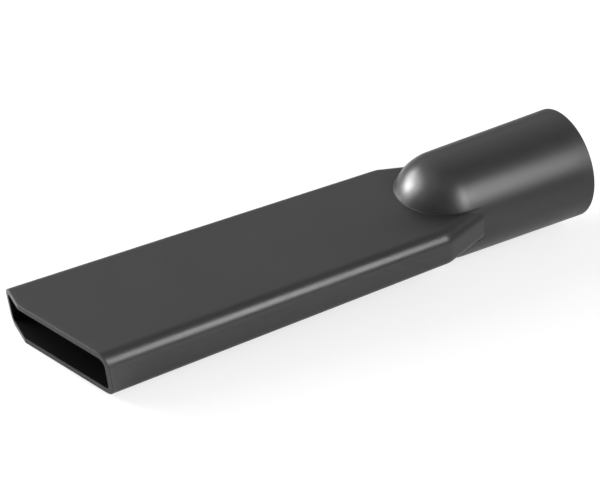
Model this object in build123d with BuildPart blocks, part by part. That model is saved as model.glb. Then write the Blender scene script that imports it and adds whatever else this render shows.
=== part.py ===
from build123d import *
from math import cos, radians, sin, sqrt, tan
import os

# A crevice tool for a vacuum cleaner, moulded in one piece: a round socket that slips over
# the wand, a domed end that closes it, and a flat duct that leads from the dome to the mouth.
# The origin is on the socket's axis at the stop, where the wand's end comes to rest.
# The socket opens towards +X, and the mouth lies towards -X.

# Socket
tube_diameter = 32.0        # outer diameter of the wand that the socket takes
tube_clearance = 0.2        # how much wider than the wand the seat is
seat_depth = 40.0           # open end to the stop
stop_width = 0.7            # shoulder that stops the wand
throat_length = 4.7         # stop to the centre of the dome
socket_wall = 2.3           # wall at the open end, where it is thickest
socket_draft = 0.97         # slope of the socket's outside, which narrows towards the dome
lead_in_depth = 2.0         # length of the flare that guides the wand in
lead_in_width = 0.7         # how much the flare opens the seat on each side
end_bevel = 0.15            # bevel of the open end's outer edge

# Duct
duct_length = 125.7         # neck to the foremost edge of the mouth
duct_wall = 2.0
neck_reach = 12.4           # centre of the dome to the neck, where the duct has its full width
neck_width = 47.6           # width of the duct at the neck
neck_rise = 6.6             # upper face above the socket's axis, at the neck
neck_drop = 5.4             # lower face below the socket's axis, at the neck
shoulder_angle = 21.3       # slope of the shoulders that lead from the neck to the socket
neck_rounding = 6.0         # rounding of the bend at the neck, seen from above
mouth_width = 50.5          # width of the duct at the mouth
mouth_rise = 8.2            # upper face above the socket's axis, at the mouth
mouth_drop = 6.1            # lower face below the socket's axis, at the mouth
upper_rounding = 4.4        # rounding of the duct's upper long edges
lower_rounding = 3.1        # rounding of the duct's lower long edges
crease_rounding = 0.3       # rounding where the dome and the socket meet the duct

# Mouth, seen from above
mouth_skew = 19.6           # slant of the mouth's edge across the duct
leading_width = 12.3        # straight part of the mouth's edge, beside the longer side
rim_bevel = 0.15            # bevel round the mouth

# Sizes that follow
seat_radius = (tube_diameter + tube_clearance) / 2
throat_radius = seat_radius - stop_width
end_radius = seat_radius + socket_wall
draft_slope = tan(radians(socket_draft))
dome_x = -throat_length
dome_radius = (end_radius - (seat_depth - dome_x) * draft_slope) * cos(radians(socket_draft))
neck_x = dome_x - neck_reach
mouth_x = neck_x - duct_length
shoulder_slope = tan(radians(shoulder_angle))
skew_slope = tan(radians(mouth_skew))
leading_y = mouth_width / 2 - leading_width


def duct_top(x):
    """Height of the duct's upper face at x."""
    return neck_rise + (mouth_rise - neck_rise) * (neck_x - x) / duct_length


def duct_bottom(x):
    """Height of the duct's lower face at x."""
    return -neck_drop - (mouth_drop - neck_drop) * (neck_x - x) / duct_length


def duct_block(end_x, end_half, inset):
    """The duct as a full block from the mouth to end_x, with every side set in by inset."""
    mouth_half = mouth_width / 2 - inset
    neck_half = neck_width / 2 - inset
    with BuildPart() as block:
        # Seen from above: long sides that bend at the neck
        with BuildSketch(Plane.XY.offset(-end_radius)):
            with BuildLine():
                Polyline(
                    (mouth_x, mouth_half),
                    (neck_x, neck_half),
                    (end_x, end_half),
                    (end_x, -end_half),
                    (neck_x, -neck_half),
                    (mouth_x, -mouth_half),
                    close=True,
                )
            make_face()
        extrude(amount=2 * end_radius)

        # Seen from the side: a wedge that grows towards the mouth
        with BuildSketch(Plane.XZ):
            with BuildLine():
                Polyline(
                    (mouth_x, duct_bottom(mouth_x) + inset),
                    (end_x, duct_bottom(end_x) + inset),
                    (end_x, duct_top(end_x) - inset),
                    (mouth_x, duct_top(mouth_x) - inset),
                    close=True,
                )
            make_face()
        extrude(amount=mouth_width, both=True, mode=Mode.INTERSECT)

        # The bends first, so that the roundings of the long edges run on round them
        bends = edges().filter_by(Axis.Z).filter_by_position(Axis.X, neck_x - 1, neck_x + 1)
        fillet(bends, neck_rounding - inset)
        upper_edges = faces().sort_by(Axis.Z)[-1].edges()
        fillet(upper_edges.filter_by(lambda e: abs(e.center().Y) > inset + 1), upper_rounding - inset)
        lower_edges = faces().sort_by(Axis.Z)[0].edges()
        fillet(lower_edges.filter_by(lambda e: abs(e.center().Y) > inset + 1), lower_rounding - inset)
    return block.part


# The shoulders end out of sight, inside the socket's wall.
shoulder_half = sqrt(dome_radius**2 - neck_rise**2) - duct_wall / 4
shoulder_x = neck_x + (neck_width / 2 - shoulder_half) / shoulder_slope

# The duct's inside narrows towards the dome until its corners reach the dome's inside.
throat_half = sqrt(throat_radius**2 - (duct_top(dome_x) - duct_wall) ** 2)

with BuildPart() as crevice_tool:
    # Outside of the duct
    add(duct_block(shoulder_x, shoulder_half, 0))

    # Outside of the socket: a slender cone that runs into the dome without an edge
    with BuildSketch(Plane.XZ):
        with BuildLine():
            cone = Line(
                (seat_depth, end_radius),
                (
                    dome_x - dome_radius * sin(radians(socket_draft)),
                    dome_radius * cos(radians(socket_draft)),
                ),
            )
            dome = RadiusArc(cone @ 1, (dome_x - dome_radius, 0), -dome_radius)
            Polyline(dome @ 1, (seat_depth, 0), cone @ 0)
        make_face()
    revolve(axis=Axis.X)

    # The crease between the round part and the flat one
    round_faces = faces().filter_by(GeomType.SPHERE) + faces().filter_by(GeomType.CONE)
    flat_edges = ShapeList(f for f in faces() if f not in round_faces).edges()
    crease = [
        e
        for e in round_faces.edges()
        if e.center().X < seat_depth / 2 and any(e.is_same(other) for other in flat_edges)
    ]
    fillet(crease, crease_rounding)

    # Inside of the duct, from the mouth to the dome
    add(duct_block(dome_x, throat_half, duct_wall), mode=Mode.SUBTRACT)

    # Inside of the socket: flare, seat, stop and the hollow of the dome
    with BuildSketch(Plane.XZ):
        with BuildLine():
            bore = Polyline(
                (seat_depth, 0),
                (seat_depth, seat_radius + lead_in_width),
                (seat_depth - lead_in_depth, seat_radius),
                (0, seat_radius),
                (0, throat_radius),
                (dome_x, throat_radius),
            )
            hollow = RadiusArc(bore @ 1, (dome_x - throat_radius, 0), -throat_radius)
            Line(hollow @ 1, bore @ 0)
        make_face()
    revolve(axis=Axis.X, mode=Mode.SUBTRACT)

    # The mouth's slant: everything in front of a line that runs back across the duct
    with BuildSketch(Plane.XY.offset(-end_radius)):
        with BuildLine():
            Polyline(
                (mouth_x - duct_wall, leading_y),
                (mouth_x, leading_y),
                (mouth_x + mouth_width * skew_slope, leading_y - mouth_width),
                (mouth_x - duct_wall, leading_y - mouth_width),
                close=True,
            )
        make_face()
    extrude(amount=2 * end_radius, mode=Mode.SUBTRACT)

    # Broken edges: round the open end, and round the mouth's rim inside and out
    chamfer(faces().sort_by(Axis.X)[-1].outer_wire().edges(), end_bevel)
    mouth_faces = faces().filter_by(lambda f: f.is_planar and f.normal_at().X < -0.5)
    rim = mouth_faces.edges().filter_by(lambda e: abs(e.center().Y - leading_y) > rim_bevel)
    chamfer(rim, rim_bevel)

crevice_tool.part.label = "crevice_tool"
os.makedirs("parts", exist_ok=True)
export_step(crevice_tool.part, "parts/crevice_tool.step")
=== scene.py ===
from math import cos, pi, radians, sin, tan

import bpy
from mathutils import Matrix, Vector

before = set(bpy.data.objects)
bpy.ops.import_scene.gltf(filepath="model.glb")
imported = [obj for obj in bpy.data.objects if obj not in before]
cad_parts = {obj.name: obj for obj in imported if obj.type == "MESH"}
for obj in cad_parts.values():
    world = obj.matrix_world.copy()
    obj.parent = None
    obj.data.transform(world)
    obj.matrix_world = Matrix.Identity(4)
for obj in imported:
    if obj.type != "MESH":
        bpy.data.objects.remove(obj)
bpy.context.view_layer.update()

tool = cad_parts["crevice_tool"]

# Sizes of the moulding, in millimetres in the tool's own frame, as in the CAD. The socket
# opens towards +X, and the mouth lies towards -X.
end_x = 40.0                # open end of the socket
dome_x = -4.7               # centre of the dome
dome_radius = 17.64
socket_slope = 0.01693      # the socket widens from the dome to the open end
socket_within = 17.0        # a distance from the axis inside the socket's wall
neck_x = -17.1              # where the duct has its full width
neck_half = 23.8            # half the duct's width at the neck
neck_rise = 6.6             # upper face above the axis, at the neck
neck_drop = 5.4             # lower face below the axis, at the neck
side_slope = 0.01154        # the duct widens from the neck to the mouth
shoulder_slope = 0.39       # and narrows faster from the neck to the socket
top_slope = 0.01273
bottom_slope = 0.00557
wall_within = 1.65          # a depth inside the duct's wall of 2 mm
mouth_x = -142.8            # foremost edge of the mouth
leading_y = 12.95           # where the mouth's slant starts
skew_slope = 0.3561

# The tool lies on the underside of its dome and on the lower lip of its mouth, so the
# surface under it slopes in the tool's own frame.
rest_pitch = radians(4.78)
tilt = Matrix.Rotation(rest_pitch, 3, "Y")
up = tilt @ Vector((0, 0, 1))

# Camera: level, with its place and lens worked out from the photograph's perspective. Places
# here and below are in metres.
camera_place = Vector((-0.21195, -0.34264, 0.26266))
camera_aim = Vector((-0.05944, -0.00564, 0.00637))
camera_lens = 89.5          # millimetres on a 36 mm sensor

floor_size = 12
floor_middle = -0.11        # along the tool, under its duct
lamp_distance = 2.0


def turned_to(place, aim):
    """The rotation that looks from a place at an aim, with the floor level."""
    back = (place - aim).normalized()
    right = up.cross(back).normalized()
    return Matrix((right, back.cross(right), back)).transposed().to_quaternion()


def from_bearing(azimuth, elevation, distance):
    """A place round the tool: azimuth 0 is in front (-Y), 90 is at the socket (+X)."""
    a, e = radians(azimuth), radians(elevation)
    return tilt @ Vector((sin(a) * cos(e), -cos(a) * cos(e), sin(e))) * distance


class Graph:
    """A node tree, with short calls that add a node and wire its inputs."""

    def __init__(self, owner):
        owner.use_nodes = True
        self.tree = owner.node_tree
        self.tree.nodes.clear()

    def put(self, socket, value):
        if isinstance(value, bpy.types.NodeSocket):
            self.tree.links.new(value, socket)
        else:
            socket.default_value = value

    def add(self, kind, inputs=None, **settings):
        """A node with its settings, and with values or links for inputs by name or number."""
        node = self.tree.nodes.new("ShaderNode" + kind)
        for key, value in settings.items():
            setattr(node, key, value)
        for key, value in (inputs or {}).items():
            self.put(node.inputs[key], value)
        return node

    def math(self, operation, *values, clamp=False):
        inputs = dict(enumerate(values))
        return self.add("Math", inputs, operation=operation, use_clamp=clamp).outputs[0]

    def line(self, value, slope, start, clamp=False):
        """slope * value + start"""
        return self.math("MULTIPLY_ADD", value, slope, start, clamp=clamp)

    def least(self, first, second):
        return self.math("MINIMUM", first, second)

    def most(self, first, second):
        return self.math("MAXIMUM", first, second)

    def off(self, value, level):
        """How far the value is from a level."""
        return self.math("ABSOLUTE", self.math("SUBTRACT", value, level))

    def length(self, first, second):
        squares = self.math("ADD", self.math("POWER", first, 2.0), self.math("POWER", second, 2.0))
        return self.math("SQRT", squares)

    def rise(self, value, low, high, low_out=0.0, high_out=1.0):
        """A soft step of the value from low to high."""
        inputs = dict(enumerate((value, low, high, low_out, high_out)))
        return self.add("MapRange", inputs, interpolation_type="SMOOTHSTEP").outputs[0]

    def fall(self, value, low, high):
        return self.rise(value, low, high, 1.0, 0.0)

    def both(self, *masks):
        result = masks[0]
        for mask in masks[1:]:
            result = self.math("MULTIPLY", result, mask)
        return result

    def noise(self, vector, scale, detail=2.0, roughness=0.5):
        inputs = {"Vector": vector, "Scale": scale, "Detail": detail, "Roughness": roughness}
        return self.add("TexNoise", inputs).outputs["Fac"]

    def scaled(self, vector, factor):
        return self.add("VectorMath", {0: vector, "Scale": factor}, operation="SCALE").outputs[0]

    def bump(self, height, inputs=None):
        """Height in millimetres."""
        inputs = {"Strength": 1, "Distance": 0.001, "Height": height, **(inputs or {})}
        return self.add("Bump", inputs).outputs["Normal"]

    def plastic(self, colour, roughness, normal, specular=0.5):
        shader = self.add("BsdfPrincipled", {
            "Base Color": colour, "Roughness": roughness, "Normal": normal,
            "IOR": 1.5, "Specular IOR Level": specular,
        })
        return shader.outputs["BSDF"]

    def mixed(self, factor, first, second):
        return self.add("MixShader", {0: factor, 1: first, 2: second}).outputs[0]

    def seen(self, unseen, to_camera):
        """One shader for the camera and another for the light that bounces about."""
        camera_ray = self.add("LightPath").outputs["Is Camera Ray"]
        return self.mixed(camera_ray, unseen, to_camera)


# Moulded plastic. Positions are in millimetres in the tool's own frame, so that the finish
# follows the moulding.
material = bpy.data.materials.new("moulded_plastic")
g = Graph(material)
place = g.scaled(g.add("TexCoord").outputs["Object"], 1000)
x, y, z = g.add("SeparateXYZ", {0: place}).outputs
surface_normal = g.add("NewGeometry").outputs["Normal"]
normal = g.add("SeparateXYZ", {0: surface_normal}).outputs
side_on = g.math("ABSOLUTE", normal[1])
face_on = g.math("ABSOLUTE", normal[2])

# Where the surface is: duct, dome or socket, inside or outside
past_neck = g.math("SUBTRACT", x, neck_x)
half = g.least(
    g.line(past_neck, -side_slope, neck_half),
    g.line(past_neck, -shoulder_slope, neck_half),
)
top = g.line(past_neck, -top_slope, neck_rise)
bottom = g.line(past_neck, bottom_slope, -neck_drop)
slant = g.most(g.math("MULTIPLY", g.math("SUBTRACT", leading_y, y), skew_slope), 0.0)
behind_rim = g.math("SUBTRACT", g.math("SUBTRACT", x, mouth_x), slant)
in_duct = g.both(
    g.math("LESS_THAN", g.math("ABSOLUTE", y), g.math("SUBTRACT", half, wall_within)),
    g.math("LESS_THAN", z, g.math("SUBTRACT", top, wall_within)),
    g.math("GREATER_THAN", z, g.math("ADD", bottom, wall_within)),
    g.math("GREATER_THAN", behind_rim, 0.02),
    g.math("LESS_THAN", x, dome_x + 0.1),
)
past_dome = g.math("SUBTRACT", x, dome_x)
from_dome = g.length(g.length(y, z), g.least(past_dome, 0.0))
in_socket = g.both(
    g.math("LESS_THAN", from_dome, socket_within),
    g.math("LESS_THAN", x, end_x - 0.1),
)
outside = g.math("SUBTRACT", 1.0, g.most(in_duct, in_socket))

# How far the surface is from the outside of the socket and the dome, and from the duct's
# flat faces
proud = g.math("SUBTRACT", from_dome, g.line(g.most(past_dome, 0.0), socket_slope, dome_radius))
off_flat = g.least(g.off(z, top), g.off(z, bottom))

# The mesh has facets, and its shading breaks along the seam on top of the socket and the dome.
# There the true normal of the cone and the ball takes its place.
round_outside = g.both(
    g.rise(proud, -0.08, -0.07),
    g.fall(proud, 0.0, 0.04),
    g.math("LESS_THAN", x, end_x - 0.16),
)
cone_lean = -0.3            # the cone's normal leans back this much for its radius
outward = g.add("CombineXYZ", {0: g.least(past_dome, cone_lean), 1: y, 2: z}).outputs[0]
true_normal = g.add("VectorMath", {0: outward}, operation="NORMALIZE").outputs[0]
turned = g.add(
    "VectorTransform", {0: true_normal},
    vector_type="NORMAL", convert_from="OBJECT", convert_to="WORLD",
).outputs[0]
smooth_normal = g.add(
    "Mix", {"Factor": round_outside, 4: surface_normal, 5: turned}, data_type="VECTOR"
).outputs[1]

# The parting line runs along the middle of both sides, down the shoulders to the axis
parting_height = g.most(0.0, g.least(
    g.line(past_neck, -0.0036, (neck_rise - neck_drop) / 2),
    g.line(past_neck, -0.0458, (neck_rise - neck_drop) / 2),
))
parting = g.both(g.fall(g.off(z, parting_height), 0.03, 0.15), g.rise(side_on, 0.6, 0.8), outside)

# Rubbed places: the mouth's rim, the open end and, less so, the long edges
clouds = g.noise(place, 0.035, 3.0, 0.55)
blotches = g.noise(place, 0.45, 4.0, 0.6)
ends = g.most(g.fall(behind_rim, 0.3, 1.4), g.rise(x, end_x - 0.8, end_x - 0.25))
rounded = g.both(g.rise(side_on, 0.25, 0.55), g.rise(face_on, 0.25, 0.55))
rubbed = g.both(
    g.most(ends, g.math("MULTIPLY", rounded, 0.35)),
    g.rise(blotches, 0.38, 0.62, 0.35, 1.0),
    outside,
)

# Dull places: the crease round the dome, which is also painted with shade, the trimmed rim of the
# mouth, whose leading edge is lighter, and a band at the open end, which hands and wands have
# scuffed
shaded_crease = g.both(
    g.fall(g.math("ABSOLUTE", proud), 0.1, 0.5),
    g.fall(off_flat, 0.1, 0.5),
    g.fall(x, -3.0, -1.5),
    outside,
)
trimmed = g.both(g.fall(behind_rim, 0.1, 0.25), outside)
lighter_leading_edge = g.both(trimmed, g.rise(y, leading_y - 0.55, leading_y + 0.45))
scuffed = g.both(g.rise(x, end_x - 6.0, end_x - 3.0), outside)

# Painted shadow: the duct's flat faces beside the dome are darker on the near side, where the
# dome's shade falls
painted_dome_shadow = g.both(
    g.fall(proud, -6.0, 20.0),
    g.fall(y, -14.0, 0.0),
    g.fall(off_flat, 0.0, 0.6),
    g.fall(x, -3.0, 3.0),
    outside,
)

# Grain from the spark-eroded mould, coarser pits between, and draw marks on the cored inside
grain = g.noise(place, 3.4, 3.0, 0.6)
pits = g.noise(place, 1.1, 1.0, 0.5)
stretched = g.add("Mapping", {"Vector": place, "Scale": (0.035, 2.2, 2.2)}).outputs[0]
draw_marks = g.noise(stretched, 1.0, 2.0, 0.5)

# Colour: near-black grey, a little uneven as coloured granulate melts
cloudiness = g.math("SUBTRACT", clouds, 0.5)
shade = g.line(cloudiness, 0.28, 1.0)
shade = g.math("ADD", shade, g.line(grain, 0.16, -0.08))
shade = g.line(rubbed, 0.25, shade)
# The rim's leading edge is lighter
shade = g.line(lighter_leading_edge, 1.3, shade)
# Painted shade in the crease round the dome, and a darker trimmed rim
shade = g.line(g.most(trimmed, shaded_crease), -0.6, shade)
# Painted shadow of the dome on the near side of the flat faces
shade = g.line(painted_dome_shadow, -0.6, shade)
shade = g.line(parting, 0.2, shade)
shade = g.math("MULTIPLY", shade, g.line(in_socket, -0.3, 1.0))

gloss = g.line(cloudiness, 0.10, 0.335)
gloss = g.math("ADD", gloss, g.line(blotches, 0.05, -0.025))
gloss = g.math("ADD", gloss, g.line(grain, 0.05, -0.025))
gloss = g.line(rubbed, 0.05, gloss)
gloss = g.line(trimmed, 0.3, gloss)
gloss = g.line(shaded_crease, 0.4, gloss)
gloss = g.line(scuffed, 0.07, gloss, clamp=True)

height = g.math("ADD", g.math("MULTIPLY", grain, 0.0040), g.math("MULTIPLY", pits, 0.0035))
height = g.line(parting, 0.012, height)
outer = g.plastic(
    g.scaled((0.0242, 0.0242, 0.0244), shade), gloss, g.bump(height, {"Normal": smooth_normal})
)

# The inside of the duct is painted with shade, near black and with little reflection, and it is
# matt, with marks along the way the core is drawn out
painted_dark_inside = g.plastic(
    g.scaled((0.0026, 0.0026, 0.0027), g.math("ADD", shade, g.line(draw_marks, 0.5, -0.25))),
    g.line(draw_marks, 0.14, 0.42),
    g.bump(g.math("MULTIPLY", draw_marks, 0.012)),
    specular=0.05,
)
g.add("OutputMaterial", {"Surface": g.mixed(in_duct, outer, painted_dark_inside)})

tool.data.materials.clear()
tool.data.materials.append(material)

# The round faces are facets with smooth shading: this keeps lamps at a low angle from cutting
# off along a facet's edge.
tool.cycles.shadow_terminator_offset = 0.15
tool.cycles.shadow_terminator_geometry_offset = 0.5

# Floor
lowest = min(v.co.dot(up) for v in tool.data.vertices)
bpy.ops.mesh.primitive_plane_add(size=floor_size)
floor = bpy.context.object
floor.name = "floor"
floor.rotation_euler = (0, rest_pitch, 0)
floor.location = up * lowest + tilt @ Vector((floor_middle, 0, 0))

# To the camera the floor is pale and glows, more so further out, so that it keeps a faint
# shadow and meets the white background without an edge. The light that bounces off it finds it
# near white under the tool and grey further out.
material = bpy.data.materials.new("floor")
g = Graph(material)
from_middle = g.add(
    "VectorMath", {0: g.add("TexCoord").outputs["Object"]}, operation="LENGTH"
).outputs["Value"]
paint = g.add("BsdfDiffuse", {"Color": g.rise(from_middle, 0.12, 0.26, 0.95, 0.35)})
pale = g.add("BsdfDiffuse", {"Color": (0.30, 0.30, 0.30, 1)})
glow = g.add("Emission", {"Strength": g.rise(from_middle, 0.2, 0.8, 0.7, 1.0)})
lit = g.add("AddShader", {0: pale.outputs[0], 1: glow.outputs[0]})
g.add("OutputMaterial", {"Surface": g.seen(paint.outputs[0], lit.outputs[0])})
floor.data.materials.append(material)

# Background: white to the camera, and a dim room to everything else
world = bpy.data.worlds.new("studio")
bpy.context.scene.world = world
g = Graph(world)
room = g.add("Background", {"Color": (1, 1, 1, 1), "Strength": 0.07})
backdrop = g.add("Background", {"Color": (1, 1, 1, 1), "Strength": 1})
g.add("OutputWorld", {"Surface": g.seen(room.outputs[0], backdrop.outputs[0])})


def soft_box(name, azimuth, elevation, wide, high, radiance):
    """A rectangular lamp that faces the tool, so many degrees wide and high as seen from it."""
    light = bpy.data.lights.new(name, "AREA")
    light.shape = "RECTANGLE"
    light.size = 2 * lamp_distance * tan(radians(wide) / 2)
    light.size_y = 2 * lamp_distance * tan(radians(high) / 2)
    light.energy = radiance * pi * light.size * light.size_y
    lamp = bpy.data.objects.new(name, light)
    lamp.location = from_bearing(azimuth, elevation, lamp_distance) + camera_aim
    lamp.rotation_mode = "QUATERNION"
    lamp.rotation_quaternion = turned_to(lamp.location, camera_aim)
    bpy.context.collection.objects.link(lamp)


# Low lamps behind the tool on the left make the dome's highlight, and tall ones in front make
# the bright band on the socket and the near edge's highlight. The rest is faint fill.
soft_box("key", -139, 17, 10, 12, 46)
soft_box("key_wide", -155, 21, 24, 18, 11)
soft_box("key_spread", -138, 19, 41, 35, 5)
soft_box("key_high", -128, 32, 26, 25, 5)
soft_box("front_low", 14, 31, 11, 31, 9.5)
soft_box("front_high", 25, 38, 11, 31, 9)
soft_box("front_spread", 19, 34, 24, 40, 2.5)
soft_box("left", -108, 48, 48, 48, 0.6)
soft_box("back", 152, 42, 58, 58, 0.38)
soft_box("right", 92, 24, 44, 36, 0.5)
soft_box("top", -10, 74, 48, 34, 0.3)

# Camera
lens = bpy.data.cameras.new("camera")
lens.sensor_width = 36
lens.lens = camera_lens
camera = bpy.data.objects.new("camera", lens)
camera.location = camera_place
camera.rotation_mode = "QUATERNION"
camera.rotation_quaternion = turned_to(camera_place, camera_aim)
bpy.context.collection.objects.link(camera)
bpy.context.scene.camera = camera
bpy.context.scene.view_settings.view_transform = "Standard"
